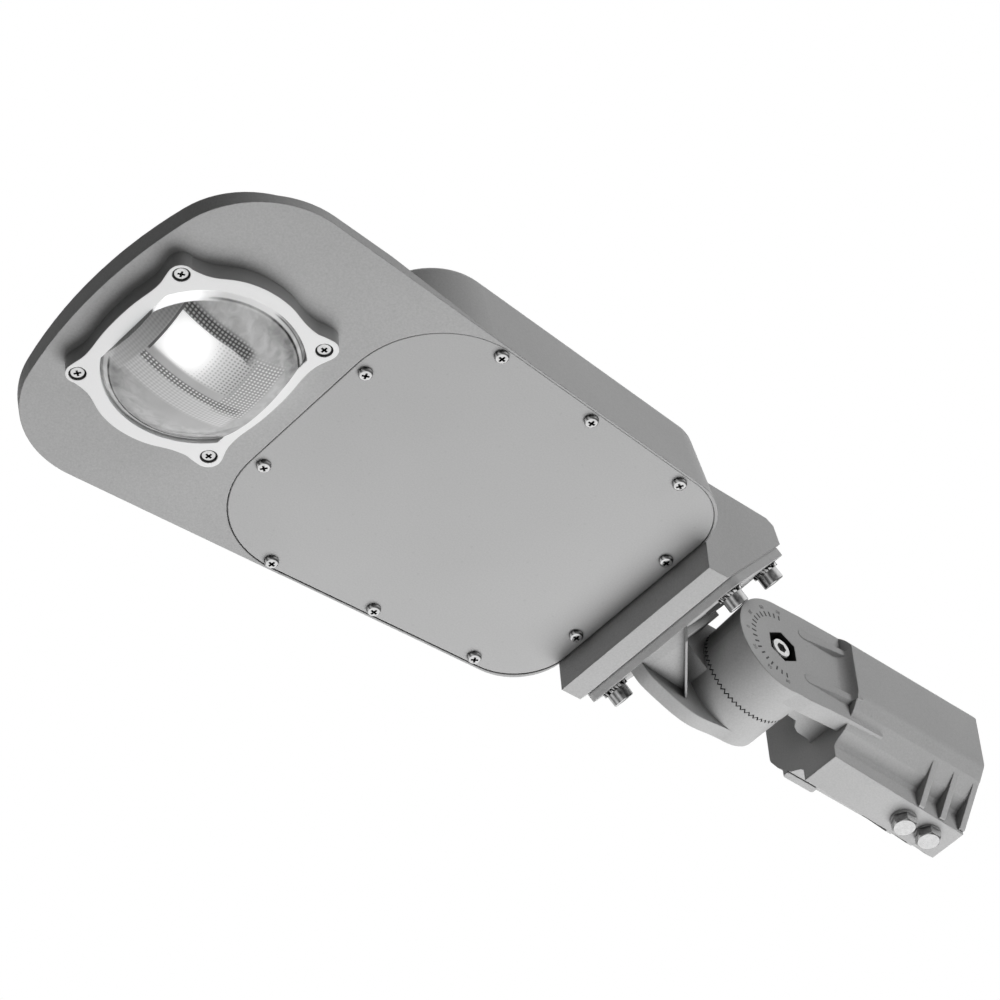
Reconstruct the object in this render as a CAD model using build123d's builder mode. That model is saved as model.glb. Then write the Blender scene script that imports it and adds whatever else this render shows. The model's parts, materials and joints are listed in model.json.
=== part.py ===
from build123d import *
import os
from math import cos, radians, sin, tan

os.makedirs("parts", exist_ok=True)

# LED street light head, in millimetres.
# The origin is on the axis of the pole spigot socket, at its mouth.
# +X runs from the pole to the nose, +Z is up, and the light leaves downwards, along -Z.

# spigot clamp
bore_r = 31.0
barrel_r = 40.3
barrel_flat = 36.0
barrel_len = 100.0
socket_depth = 92.0
pad_half = 12.3
pad_mouth_z = -53.8
pad_front_z = -49.8
pad_seat_z = -53.7
gusset_t = 4.0
gusset_x = (0.0, 15.5, 32.0)
clamp_bolt_x = (16.5, 35.5)

# knuckle
pivot_x = 148.5
pivot_z = -5.5
seam_y = -2.0
clamp_face_y = 27.5
head_face_y = -27.0
drum_face_r = 32.3
drum_seam_r = 30.8
tooth_count = 60
tooth_depth = 2.0
tooth_inner_r = 20.0
tooth_gap = 0.35
pivot_bolt_r = 4.0
head_drum_r = 30.6
recess_flats = 19.2
recess_depth = 9.0
nut_recess_r = 10.0
nut_recess_depth = 9.0
nut_t = 6.5

# flange between the bracket and the housing
flange_tilt = 49.5
flange_x = 223.0
flange_z = -22.7
neck_half = 60.0
neck_front_x = 237.0
neck_bottom_z = -23.5
neck_top_z = 47.5
neck_tail_x = 176.3
plate_half = 59.5
plate_t = 5.0
plate_low = 5.0
plate_high = 71.0
flange_gasket_t = 0.6
flange_bolt_y = 46.8
flange_bolt_s = (14.9, 63.3)
washer_t = 2.4
wire_hole_y = 27.0
wire_hole_s = 38.0
wire_hole_r = 8.0

# housing
face_z = -4.0
nose_x = 607.0
nose_r = 310.0
corner_r = 57.2
tail_r = 34.0
side_y0 = 95.9
side_slope = 0.073
side_x0 = 347.0
hump_top = 54.0
hump_draft = 10.0
hump_nose_x = 474.0

# service cover
cover_t = 2.5
cover_gasket_t = 1.0
cover_nose_x = 470.0
cover_tail_x = 237.8
cover_gap = 0.5
cover_side_gap = 0.35
cover_edge = 1.6
cover_corner_r = 55.0
cover_tail_r = 36.0
cover_screws = ((462.8, 41.9), (414.5, 94.5), (347.0, 89.1), (278.7, 83.9), (245.2, 36.7))

# lens window
lens_x = 540.7
lens_round_x = 537.0
lens_frame_t = 10.2
lens_screws = ((585.7, 42.9), (495.7, 47.5))
aperture_r = 53.3
aperture_half = 42.3


def side_y(x):
    """Half width of the housing's face at a place along its length."""
    return side_y0 + side_slope * (x - side_x0)


def both_sides(points):
    """The same points on the +Y and on the -Y side."""
    return [(x, s * y) for x, y in points for s in (1, -1)]


def cheese_screw(head_r, head_h, shank_r, length):
    """Pan head screw that points up, with its head under the XY plane and its shank above."""
    with BuildPart() as screw:
        with BuildSketch(Plane.XZ):
            with BuildLine():
                Polyline((0, -head_h), (head_r * 0.62, -head_h))
                ThreePointArc((head_r * 0.62, -head_h), (head_r * 0.93, -head_h * 0.62), (head_r, 0))
                Polyline((head_r, 0), (shank_r, 0), (shank_r, length - shank_r), (0, length), (0, -head_h))
            make_face()
        revolve(axis=Axis.Z)
    return screw.part


def hex_bolt(flats, head_h, shank_r, length):
    """Hexagon bolt that points up, with its head under the XY plane and its shank above."""
    with BuildPart() as bolt:
        with BuildSketch():
            RegularPolygon(flats / 2, 6, major_radius=False)
        extrude(amount=-head_h)
        with BuildSketch(Plane.XZ):
            with BuildLine():
                Polyline((0, 0), (0, -head_h), (flats * 0.475, -head_h), (flats * 0.6, -head_h * 0.78))
                Polyline((flats * 0.6, -head_h * 0.78), (flats * 0.6, 0), (0, 0))
            make_face()
        revolve(axis=Axis.Z, mode=Mode.INTERSECT)
        with BuildSketch():
            Circle(shank_r)
        extrude(amount=length)
        chamfer(bolt.edges().sort_by(Axis.Z)[-1], shank_r * 0.2)
    return bolt.part


def cap_screw(head_r, head_h, shank_r, length, socket):
    """Cap screw that points up, with a hexagon socket in its round head under the XY plane."""
    with BuildPart() as screw:
        with BuildSketch():
            Circle(head_r)
        extrude(amount=-head_h)
        chamfer(screw.edges().sort_by(Axis.Z)[0], 0.5)
        with BuildSketch(Plane.XY.offset(-head_h)):
            RegularPolygon(socket / 2, 6, major_radius=False)
        extrude(amount=head_h * 0.5, mode=Mode.SUBTRACT)
        with BuildSketch():
            Circle(shank_r)
        extrude(amount=length)
        chamfer(screw.edges().sort_by(Axis.Z)[-1], shank_r * 0.2)
    return screw.part


# frames of reference
pivot_plane = Plane(origin=(pivot_x, seam_y, pivot_z), x_dir=(1, 0, 0), z_dir=(0, 1, 0))
tilt = radians(flange_tilt)
# the flange plane: its x runs along -Y, its y runs up the slope, its z points out of the housing
flange_plane = Plane(origin=(flange_x, 0, flange_z), x_dir=(0, -1, 0), z_dir=(-sin(tilt), 0, -cos(tilt)))
face_plane = Plane(origin=(0, 0, face_z), x_dir=(1, 0, 0), z_dir=(0, 0, 1))


def face_outline(nose, tail, inset):
    """The outline of the housing's face, with its rounded nose, tapering sides and round tail corners."""
    centre_x = nose - nose_r
    y_tail = side_y(tail) - inset
    y_nose = side_y(nose - 20) - inset
    x_nose = centre_x + (nose_r**2 - y_nose**2) ** 0.5
    with BuildSketch(Plane.XY) as outline:
        with BuildLine():
            ThreePointArc((x_nose, -y_nose), (nose, 0), (x_nose, y_nose))
            Line((x_nose, y_nose), (tail, y_tail))
            Line((tail, y_tail), (tail, -y_tail))
            Line((tail, -y_tail), (x_nose, -y_nose))
        make_face()
        fillet(outline.vertices().group_by(Axis.X)[-1], corner_r - inset)
        fillet(outline.vertices().group_by(Axis.X)[0], tail_r - inset)
    return outline.sketch


def cover_outline(inset, end_inset):
    """The outline of the service cover, drawn in by one margin at its sides and one at its ends."""
    nose = cover_nose_x - end_inset
    tail = cover_tail_x + end_inset
    y_nose = side_y(nose) - cover_edge - inset
    y_tail = side_y(tail) - cover_edge - inset
    with BuildSketch(Plane.XY) as outline:
        with BuildLine():
            Polyline(
                (nose, -y_nose),
                (nose, y_nose),
                (tail, y_tail),
                (tail, -y_tail),
                (nose, -y_nose),
            )
        make_face()
        fillet(outline.vertices().group_by(Axis.X)[-1], cover_corner_r - inset)
        fillet(outline.vertices().group_by(Axis.X)[0], cover_tail_r - inset)
    return outline.sketch


def lens_outline(grow):
    """The outline of the lens opening: a circle cut off by two straight sides."""
    with BuildSketch(Plane.XY) as outline:
        with Locations((lens_round_x, 0)):
            Circle(aperture_r + grow)
        with Locations((lens_x, 0)):
            Rectangle(2 * (aperture_half + grow), 2 * (aperture_r + grow) + 4, mode=Mode.INTERSECT)
    return outline.sketch


# housing: a flat face with the lens and the cover, a hump for the gear and a neck for the flange
fin_x = (478.0, 590.0)
with BuildPart() as housing:
    with BuildSketch(face_plane) as face_sketch:
        add(face_outline(nose_x, neck_front_x, 0))
    extrude(amount=12, taper=-5.7)
    # the rim is highest at the nose and runs out along the hump
    with BuildSketch(Plane.XZ):
        with BuildLine():
            Polyline(
                (640, 12.7),
                (607, 7),
                (572, 1.2),
                (500, 1.8),
                (400, -4.2),
                (200, -4.2),
                (200, 60),
                (640, 60),
                (640, 12.7),
            )
        make_face()
    extrude(amount=150, both=True, mode=Mode.SUBTRACT)
    # hump over the gear compartment
    with BuildSketch(face_plane) as hump_sketch:
        with BuildLine():
            y_a = side_y(hump_nose_x) - 0.1
            y_b = side_y(neck_front_x)
            Polyline(
                (hump_nose_x, -y_a),
                (hump_nose_x, y_a),
                (neck_front_x, y_b),
                (neck_front_x, -y_b),
                (hump_nose_x, -y_a),
            )
        make_face()
        fillet(hump_sketch.vertices().group_by(Axis.X)[-1], 47)
        fillet(hump_sketch.vertices().group_by(Axis.X)[0], tail_r)
    extrude(amount=hump_top - face_z, taper=hump_draft)
    fillet(housing.edges().filter_by(Plane.XY).group_by(Axis.Z)[-1], 8)
    # raised back over the lamp, drawn in from the rim
    with BuildSketch(Plane.XY.offset(-2)):
        add(face_outline(nose_x - 14, 430, 13))
    extrude(amount=30, taper=20)
    # neck that carries the flange
    with BuildSketch(Plane.XZ) as neck_side:
        with BuildLine():
            Polyline(
                (neck_front_x, neck_bottom_z),
                (flange_x, flange_z),
                (neck_tail_x, flange_z + (flange_x - neck_tail_x) * tan(tilt)),
                (179.5, 44.4),
                (184.5, neck_top_z),
                (262, neck_top_z),
                (262, face_z + 4),
                (neck_front_x, face_z + 4),
                (neck_front_x, neck_bottom_z),
            )
        make_face()
    extrude(amount=neck_half, both=True)

with BuildPart() as housing_cut:
    # seat for the gasket and the cover, and the gear compartment behind it
    with BuildSketch(face_plane):
        add(cover_outline(-cover_side_gap, -cover_gap))
    extrude(amount=cover_t + cover_gasket_t)
    with BuildSketch(face_plane):
        add(cover_outline(15, 13))
    extrude(amount=hump_top - face_z - 4, taper=7)
    # lamp chamber over the lens
    with BuildSketch(face_plane):
        add(lens_outline(-1.0))
    extrude(amount=9)
    with BuildSketch(face_plane):
        with Locations((lens_x, 0)):
            Circle(42)
    extrude(amount=25)
    # passage for the lamp's leads
    with BuildSketch(Plane.YZ.offset(450)):
        with Locations((0, 12)):
            Circle(5)
    extrude(amount=60)
    # wire way from the flange into the neck and on into the gear compartment
    with BuildSketch(flange_plane.offset(1)):
        with Locations((-wire_hole_y, wire_hole_s)):
            Circle(wire_hole_r)
    extrude(amount=-32)
    with BuildSketch(Plane.YZ.offset(214)):
        with Locations((wire_hole_y, 24)):
            Circle(wire_hole_r)
    extrude(amount=42)
    # screw holes
    with BuildSketch(face_plane):
        with Locations(both_sides(cover_screws)):
            Circle(1.65)
        with Locations(both_sides(lens_screws)):
            Circle(2.05)
    extrude(amount=16)
    with BuildSketch(flange_plane.offset(1)):
        with Locations([(s * flange_bolt_y, v) for s in (1, -1) for v in flange_bolt_s]):
            Circle(4.0)
    extrude(amount=-21)

with BuildPart() as housing_whole:
    add(housing.part)
    add(housing_cut.part, mode=Mode.SUBTRACT)
    # cooling fins along the raised back
    for k in range(-4, 5):
        with BuildSketch(Plane.XZ.offset(-14.0 * k - 1.3)):
            half = abs(14.0 * k)
            with BuildLine():
                Polyline(
                    (465, 24),
                    (fin_x[1] - half * 0.3 - 6, 24),
                    (fin_x[1] - half * 0.3 - 18, 38),
                    (465, 45),
                    (465, 24),
                )
            make_face()
        extrude(amount=2.6)
housing_whole.part.label = "housing"
export_step(housing_whole.part, "parts/housing.step")

# service cover: a flat plate let into the face
with BuildPart() as service_cover:
    with BuildSketch(face_plane):
        with Locations((0, 0.2)):
            add(cover_outline(0, 0))
        with Locations(both_sides(cover_screws)):
            Circle(2.2, mode=Mode.SUBTRACT)
    extrude(amount=cover_t)
    chamfer(service_cover.faces().sort_by(Axis.Z)[0].outer_wire().edges(), 0.4)
service_cover.part.label = "service_cover"
export_step(service_cover.part, "parts/service_cover.step")

# flat gasket under the cover
with BuildPart() as cover_gasket:
    with BuildSketch(face_plane.offset(cover_t)):
        add(cover_outline(1.5, 1.5))
        add(cover_outline(13, 12), mode=Mode.SUBTRACT)
        with Locations(both_sides(cover_screws)):
            Circle(2.2, mode=Mode.SUBTRACT)
    extrude(amount=cover_gasket_t)
cover_gasket.part.label = "cover_gasket"
export_step(cover_gasket.part, "parts/cover_gasket.step")

# pan head screws of the cover
cover_screw = cheese_screw(4.0, 2.9, 1.6, 14)
with BuildPart() as cover_screw_set:
    with Locations([(x, y, face_z) for x, y in both_sides(cover_screws)]):
        add(cover_screw)
cover_screw_set.part.label = "cover_screws"
export_step(cover_screw_set.part, "parts/cover_screws.step")

# lens frame: an eared ring with bowed sides
with BuildPart() as lens_frame:
    with BuildSketch(face_plane) as frame_sketch:
        with BuildLine():
            for s in (1, -1):
                # nose side, nose ear, bowed flank, tail ear, tail side
                Spline((593.0, 0), (592.0, s * 17), (590.7, s * 33), (592.2, s * 41), tangents=((0, s), (0.1, s)))
                ThreePointArc((592.2, s * 41), (590.2, s * 47.4), (583.5, s * 49.0))
                Spline(
                    (583.5, s * 49.0),
                    (572.0, s * 51.2),
                    (562.0, s * 56.6),
                    (550.0, s * 60.6),
                    (537.0, s * 61.4),
                    (525.0, s * 59.4),
                    (514.0, s * 55.6),
                    (505.0, s * 54.2),
                    (496.8, s * 55.2),
                    tangents=((-1, s * 0.05), (-1, s * 0.05)),
                )
                ThreePointArc((496.8, s * 55.2), (489.9, s * 52.6), (488.3, s * 46.8))
                Spline((488.3, s * 46.8), (491.3, s * 38), (492.2, s * 28), (490.0, 0), tangents=((0.2, -s), (0, -s)))
        make_face()
        add(lens_outline(0), mode=Mode.SUBTRACT)
    extrude(amount=-lens_frame_t)
    # counterbores and clearance holes of the four screws
    with BuildSketch(face_plane.offset(-lens_frame_t)):
        with Locations(both_sides(lens_screws)):
            Circle(4.7)
    extrude(amount=3.2, mode=Mode.SUBTRACT)
    with BuildSketch(face_plane):
        with Locations(both_sides(lens_screws)):
            Circle(2.3)
    extrude(amount=-lens_frame_t, mode=Mode.SUBTRACT)
    # rebate behind the opening, which holds the rim of the lens
    with BuildSketch(face_plane):
        add(lens_outline(2.6))
    extrude(amount=-5.0, mode=Mode.SUBTRACT)
lens_frame.part.label = "lens_frame"
export_step(lens_frame.part, "parts/lens_frame.step")

# lens gasket: a flat ring between the lens rim and the housing
with BuildPart() as lens_gasket:
    with BuildSketch(face_plane.offset(-1)):
        add(lens_outline(2.2))
        add(lens_outline(-2.4), mode=Mode.SUBTRACT)
    extrude(amount=1)
lens_gasket.part.label = "lens_gasket"
export_step(lens_gasket.part, "parts/lens_gasket.step")

# glass lens: a dome with a flat rim, cut off straight at nose and tail
dome_r = 79.2
dome_base_z = face_z - 8.0
rim_low_z = face_z - 4.8
dome_foot = 52.6
dome_drop = (dome_r**2 - dome_foot**2) ** 0.5
rim_r = aperture_r + 2.0
with BuildPart() as glass_lens:
    with BuildSketch(Plane.XZ):
        with BuildLine():
            cx = lens_round_x
            Line((cx, dome_base_z + dome_drop - dome_r), (cx, dome_base_z + dome_drop - dome_r + 5))
            inner_r = dome_r - 5
            top = dome_base_z + dome_drop
            inner_foot = 47.0
            z_in = top - (inner_r**2 - inner_foot**2) ** 0.5
            mid = 26.0
            ThreePointArc(
                (cx, top - inner_r), (cx + mid, top - (inner_r**2 - mid**2) ** 0.5), (cx + inner_foot, z_in)
            )
            Line((cx + inner_foot, z_in), (cx + inner_foot, face_z - 1))
            Line((cx + inner_foot, face_z - 1), (cx + rim_r, face_z - 1))
            Line((cx + rim_r, face_z - 1), (cx + rim_r, rim_low_z))
            Line((cx + rim_r, rim_low_z), (cx + dome_foot, rim_low_z))
            Line((cx + dome_foot, rim_low_z), (cx + dome_foot, dome_base_z))
            ThreePointArc(
                (cx + dome_foot, dome_base_z),
                (cx + mid, top - (dome_r**2 - mid**2) ** 0.5),
                (cx, dome_base_z + dome_drop - dome_r),
            )
        make_face()
    revolve(axis=Axis((lens_round_x, 0, 0), (0, 0, 1)))
    # the straight sides: the rim is wider than the dome
    with BuildSketch(face_plane) as rim_band:
        with Locations((lens_x, 0)):
            Rectangle(2 * (aperture_half + 2.2), 130)
    rim_keep = extrude(amount=-4.8, mode=Mode.PRIVATE)
    with BuildSketch(face_plane.offset(-4.8)) as dome_band:
        with Locations((lens_x, 0)):
            Rectangle(2 * (aperture_half - 0.6), 130)
    dome_keep = extrude(amount=-40, mode=Mode.PRIVATE)
    add(rim_keep + dome_keep, mode=Mode.INTERSECT)
glass_lens.part.label = "glass_lens"
export_step(glass_lens.part, "parts/glass_lens.step")

# screws of the lens frame
frame_screw = cheese_screw(3.9, 2.6, 2.0, 17)
with BuildPart() as frame_screw_set:
    with Locations([(x, y, face_z - lens_frame_t + 3.2) for x, y in both_sides(lens_screws)]):
        add(frame_screw)
frame_screw_set.part.label = "lens_frame_screws"
export_step(frame_screw_set.part, "parts/lens_frame_screws.step")

# reflector pan round the lamp
reflector_top = face_z + 18.0
with BuildPart() as reflector:
    with BuildSketch(Plane.XZ):
        with BuildLine():
            Polyline(
                (lens_x + 20, reflector_top),
                (lens_x + 37.6, reflector_top - 11),
                (lens_x + 40.4, reflector_top - 17.8),
                (lens_x + 41.7, reflector_top - 17.8),
                (lens_x + 38.8, reflector_top - 10.2),
                (lens_x + 20.8, reflector_top + 1.3),
                (lens_x + 20, reflector_top + 1.3),
                (lens_x + 20, reflector_top),
            )
        make_face()
    revolve(axis=Axis((lens_x, 0, 0), (0, 0, 1)))
reflector.part.label = "reflector"
export_step(reflector.part, "parts/reflector.step")

# lamp: a square board with a raised light field
with BuildPart() as led_array:
    with BuildSketch(face_plane.offset(23)):
        with Locations((lens_x, 0)):
            Rectangle(38, 38)
    extrude(amount=2)
    with BuildSketch(face_plane.offset(23)):
        with Locations((lens_x, 0)):
            Circle(15)
    extrude(amount=-0.8)
led_array.part.label = "led_array"
export_step(led_array.part, "parts/led_array.step")

# holder that presses the lamp against the housing
with BuildPart() as led_holder:
    with BuildSketch(face_plane.offset(19.6)):
        with Locations((lens_x, 0)):
            RectangleRounded(52, 52, 6)
            Circle(17, mode=Mode.SUBTRACT)
    extrude(amount=5.2)
    with BuildSketch(face_plane.offset(22.9)):
        with Locations((lens_x, 0)):
            Rectangle(38.6, 38.6)
    extrude(amount=2.4, mode=Mode.SUBTRACT)
    with BuildSketch(face_plane.offset(19)):
        with Locations([(lens_x + i * 21.5, j * 21.5) for i in (1, -1) for j in (1, -1)]):
            Circle(1.7)
    extrude(amount=7, mode=Mode.SUBTRACT)
led_holder.part.label = "led_holder"
export_step(led_holder.part, "parts/led_holder.step")

# gear: the driver, its screws, the terminal block and the surge protector
with BuildPart() as led_driver:
    with BuildSketch(Plane.XY.offset(hump_top - 30)):
        with Locations((372, 18)):
            RectangleRounded(118, 62, 4)
    extrude(amount=25.7)
    with BuildSketch(Plane.XY.offset(hump_top - 7)):
        with Locations((372, 18)):
            SlotOverall(146, 26)
            with Locations((65.5, 0), (-65.5, 0)):
                Circle(2.3, mode=Mode.SUBTRACT)
    extrude(amount=2.7)
led_driver.part.label = "led_driver"
export_step(led_driver.part, "parts/led_driver.step")

with BuildPart() as driver_screws:
    with Locations((372 + 65.5, 18, hump_top - 7), (372 - 65.5, 18, hump_top - 7)):
        add(cheese_screw(4.0, 2.6, 1.8, 2.6))
driver_screws.part.label = "driver_screws"
export_step(driver_screws.part, "parts/driver_screws.step")

with BuildPart() as terminal_block:
    with BuildSketch(Plane.XY.offset(hump_top - 24)):
        with Locations((282, 18)):
            RectangleRounded(24, 44, 2)
    extrude(amount=19.7)
    with BuildSketch(Plane.XY.offset(hump_top - 24)):
        with Locations([(282, 18 + 13 * i) for i in (-1, 0, 1)]):
            Circle(3)
    extrude(amount=8, mode=Mode.SUBTRACT)
    with BuildSketch(Plane.YZ.offset(270)):
        with Locations([(18 + 13 * i, hump_top - 14) for i in (-1, 0, 1)]):
            Circle(3)
    extrude(amount=8, mode=Mode.SUBTRACT)
terminal_block.part.label = "terminal_block"
export_step(terminal_block.part, "parts/terminal_block.step")

with BuildPart() as surge_protector:
    with BuildSketch(Plane.XY.offset(hump_top - 26)):
        with Locations((340, -42)):
            RectangleRounded(60, 32, 3)
    extrude(amount=21.7)
    fillet(surge_protector.edges().filter_by(Plane.XY).group_by(Axis.Z)[0], 2)
surge_protector.part.label = "surge_protector"
export_step(surge_protector.part, "parts/surge_protector.step")


# knuckle halves: sixty radial teeth that meet in a zigzag line
def tooth_ring(outer_r, base, phase):
    """Radial teeth round the z axis that point along +z from a ring at the height base, with their
    crests above the XY plane and their roots below it, growing from the axis as such teeth do."""
    half_pitch = radians(180.0 / tooth_count)
    sections = []
    for r in (tooth_inner_r - 1.0, outer_r + 1.5):
        half_w = r * tan(half_pitch)
        rise = tooth_depth / 2 * r / outer_r
        with BuildSketch(Plane.YZ.offset(r)) as section:
            with BuildLine():
                Polyline(
                    (-half_w, base),
                    (half_w, base),
                    (half_w, -rise),
                    (0, rise),
                    (-half_w, -rise),
                    (-half_w, base),
                )
            make_face()
        sections.append(section.sketch.face())
    with BuildPart() as one_tooth:
        loft(sections)
    with BuildPart() as ring:
        with PolarLocations(0, tooth_count, start_angle=phase):
            add(one_tooth.part)
        with BuildSketch(Plane.XY.offset(base)):
            Circle(outer_r)
            Circle(tooth_inner_r, mode=Mode.SUBTRACT)
        extrude(amount=-base + tooth_depth, mode=Mode.INTERSECT)
    return ring.part


# spigot clamp: socket, arm and the outer half of the toothed knuckle, cast in one
with BuildPart() as clamp_arm:
    # plate from the drum along the side of the socket
    with BuildSketch(Plane.XZ.offset(-clamp_face_y)):
        with BuildLine():
            Polyline(
                (75, -32.6),
                (100, -33.6),
                (115.5, -34.9),
                (130, -36.7),
                (145, -36.9),
                (pivot_x, pivot_z - 31.6),
                (pivot_x, pivot_z + drum_face_r),
                (130, 28.3),
                (98.7, 29.5),
                (76.7, 30.1),
                (75, -32.6),
            )
        make_face()
    extrude(amount=clamp_face_y - 16)
    # web behind the plate, which grows thicker towards the socket
    with BuildSketch(Plane.XY.offset(-27)):
        with BuildLine():
            Polyline((80, 17), (pivot_x, 17), (pivot_x, 9.5), (127, 9.5), (125.5, 4), (119, 3.7), (116, -0.5))
            Polyline((116, -0.5), (112, -2.7), (104, -3.2), (98, -5.8), (80, -5.8), (80, 17))
        make_face()
    extrude(amount=50)

# two round-ended fins that rise from the arm to the front of the socket
with BuildPart() as arm_fins:
    with BuildSketch(Plane.XZ.offset(-24)):
        with Locations((116, 14.5)):
            SlotOverall(38, 9)
        with Locations((116, -19.8)):
            SlotOverall(38, 9.4)
    extrude(amount=-9, taper=20)
    with BuildSketch(Plane.XY.offset(-40)):
        with BuildLine():
            Polyline((97, 24), (135, 24), (135, 27.6), (122, 28.7), (110, 30.1), (100, 31.2), (97, 31.4), (97, 24))
        make_face()
    extrude(amount=80, mode=Mode.INTERSECT)

with BuildPart() as spigot_clamp:
    # socket barrel: round with flat sides, and facets that run down to the bolt pad
    with BuildSketch(Plane.YZ) as barrel_section:
        Circle(barrel_r)
        Rectangle(2 * barrel_flat, 2 * barrel_r, mode=Mode.INTERSECT)
        for s in (1, -1):
            with BuildLine():
                Polyline((0, 0), (s * 34.6, -20.6), (s * 30.8, -27), (s * 22, -36.2), (s * 14.2, -39.9))
                Polyline((s * 14.2, -39.9), (s * pad_half, -42), (0, -42), (0, 0))
            make_face()
        fillet(barrel_section.vertices().filter_by(lambda v: abs(v.X) > barrel_flat - 0.1 and v.Y < 0), 8)
    extrude(amount=barrel_len)
    # bolt pad, whose underside rises towards the front, with a flat seat for each bolt
    with BuildSketch(Plane.XZ.offset(-pad_half)):
        with BuildLine():
            Polyline((0, -36), (0, pad_mouth_z), (barrel_len, pad_front_z), (barrel_len, -36), (0, -36))
        make_face()
    extrude(amount=2 * pad_half)
    with BuildSketch(Plane.XY.offset(pad_seat_z)):
        with Locations([(x, 0) for x in clamp_bolt_x]):
            Circle(7.6)
    extrude(amount=6)
    # arm from the socket to the drum
    add(clamp_arm.part)
    # short rib on the other side of the socket's front
    with BuildSketch(Plane.XY.offset(-35)):
        with Locations((88.5, -26.2)):
            RectangleRounded(23, 4.3, 1.5)
    extrude(amount=12)
    # drum of the knuckle, drawn in a little towards the teeth
    with BuildSketch(pivot_plane.offset(clamp_face_y - seam_y)):
        Circle(drum_face_r)
    extrude(amount=seam_y - clamp_face_y + 2.4, taper=3)
    # hollow corner between the arm and the front of the socket, and the two fins over it
    with BuildSketch(Plane.XY.offset(-22)):
        with BuildLine():
            Polyline((112, 23.5), (107.5, clamp_face_y))
            ThreePointArc((107.5, clamp_face_y), (102.2, clamp_face_y + 2.2), (100, clamp_face_y + 7.5))
            Polyline((100, clamp_face_y + 7.5), (96, clamp_face_y + 7.5), (96, 23.5), (112, 23.5))
        make_face()
    extrude(amount=38)
    add(arm_fins.part)
    # gussets from the barrel down to the pad, on both sides
    for x_rib in gusset_x:
        with BuildSketch(Plane.YZ.offset(x_rib)):
            for s in (1, -1):
                with BuildLine():
                    Polyline(
                        (s * (pad_half - 1), -52.0),
                        (s * (pad_half + 1.5), -52.0),
                        (s * 31.2, -25.6),
                        (s * (pad_half - 1), -28),
                        (s * (pad_half - 1), -52.0),
                    )
                make_face()
        extrude(amount=gusset_t)
    # spigot socket, the cable hole in its front wall and the two threaded holes of the pad
    with BuildSketch(Plane.YZ):
        Circle(bore_r)
    extrude(amount=socket_depth, mode=Mode.SUBTRACT)
    with BuildSketch(Plane.YZ.offset(socket_depth - 1)):
        with Locations((-14, 15)):
            Circle(8)
    extrude(amount=12, mode=Mode.SUBTRACT)
    with BuildSketch(Plane.XY.offset(pad_seat_z)):
        with Locations([(x, 0) for x in clamp_bolt_x]):
            Circle(4.05)
    extrude(amount=30, mode=Mode.SUBTRACT)
    # pivot hole, and the hexagonal recess round the head of the pivot bolt
    with BuildSketch(pivot_plane.offset(clamp_face_y - seam_y)):
        Circle(pivot_bolt_r + 0.2)
    extrude(amount=-40, mode=Mode.SUBTRACT)
    with BuildSketch(pivot_plane.offset(clamp_face_y - seam_y)):
        RegularPolygon(recess_flats / 2, 6, major_radius=False, rotation=30)
    extrude(amount=-recess_depth, mode=Mode.SUBTRACT)
    # toothed face
    with Locations(pivot_plane.offset(tooth_gap / 2)):
        add(Rot(180, 0, 0) * tooth_ring(drum_seam_r, -3.0, 3.0))
spigot_clamp.part.label = "spigot_clamp"
export_step(spigot_clamp.part, "parts/spigot_clamp.step")

# adapter bracket: flange plate, side wall and the inner half of the toothed knuckle, cast in one
plate_mid = (plate_low + plate_high) / 2
plate_out = flange_plane.offset(flange_gasket_t + plate_t)


def on_plate(s, n):
    """The XZ place that lies s up the flange slope and n out of the housing's flange face."""
    return (
        flange_x - s * cos(tilt) - n * sin(tilt),
        flange_z + s * sin(tilt) - n * cos(tilt),
    )


with BuildPart() as slant_rib:
    with BuildSketch(Plane.XZ.offset(-head_face_y)):
        with BuildLine():
            Polyline(
                (172, -32.4),
                (211, -27.6),
                on_plate(plate_low + 1, plate_t),
                on_plate(plate_mid, plate_t),
                (172, -8),
                (172, -32.4),
            )
        make_face()
    extrude(amount=-60)
    with BuildSketch(Plane.XY.offset(-34)):
        with BuildLine():
            Polyline((219.0, 21.0), (218.0, 22.0), (178.3, -22.3), (179.3, -23.2), (219.0, 21.0))
        make_face()
    extrude(amount=32, mode=Mode.INTERSECT)

with BuildPart() as pocket_floor:
    with BuildSketch(Plane.XZ.offset(-head_face_y - 8)):
        with BuildLine():
            Polyline(
                (176, -25.5),
                (209, -22.8),
                on_plate(plate_low + 1, plate_t),
                on_plate(40, plate_t),
                (176, -12),
                (176, -25.5),
            )
        make_face()
    extrude(amount=-44)
    with BuildSketch(Plane.XY.offset(-32)):
        with BuildLine():
            Polyline((180.3, -21.4), (226, -21.4), (226, 22), (218.8, 21.4), (180.3, -21.4))
        make_face()
    extrude(amount=44, mode=Mode.INTERSECT)

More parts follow.
